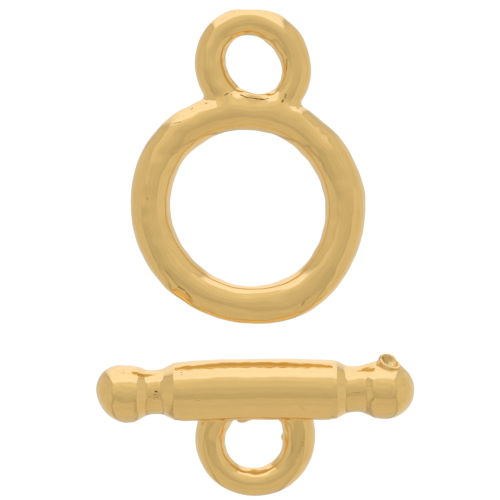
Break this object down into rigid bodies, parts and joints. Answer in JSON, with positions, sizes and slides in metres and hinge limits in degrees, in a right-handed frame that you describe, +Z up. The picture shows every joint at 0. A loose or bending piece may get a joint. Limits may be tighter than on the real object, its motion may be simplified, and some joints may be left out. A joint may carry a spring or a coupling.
{
  "type": "toggle clasp",
  "caption": "Round ring with an eye, and a knobbed bar with an eye that passes through the ring and locks across it to close a necklace or bracelet.",
  "frame": {"origin": "middle of the two pieces as they lie, on the surface that they rest on", "axes": "+Z up from that surface, +X along the bar towards the knob with the casting stub, +Y from the bar towards the ring's eye"},
  "size_m": [0.0142, 0.022, 0.0027],
  "materials": {
    "gold_plate": "polished gold plate over cast metal"
  },
  "bodies": {
    "root": {"toggle_ring": "gold_plate", "toggle_bar": "gold_plate"}
  },
  "joints": []
}
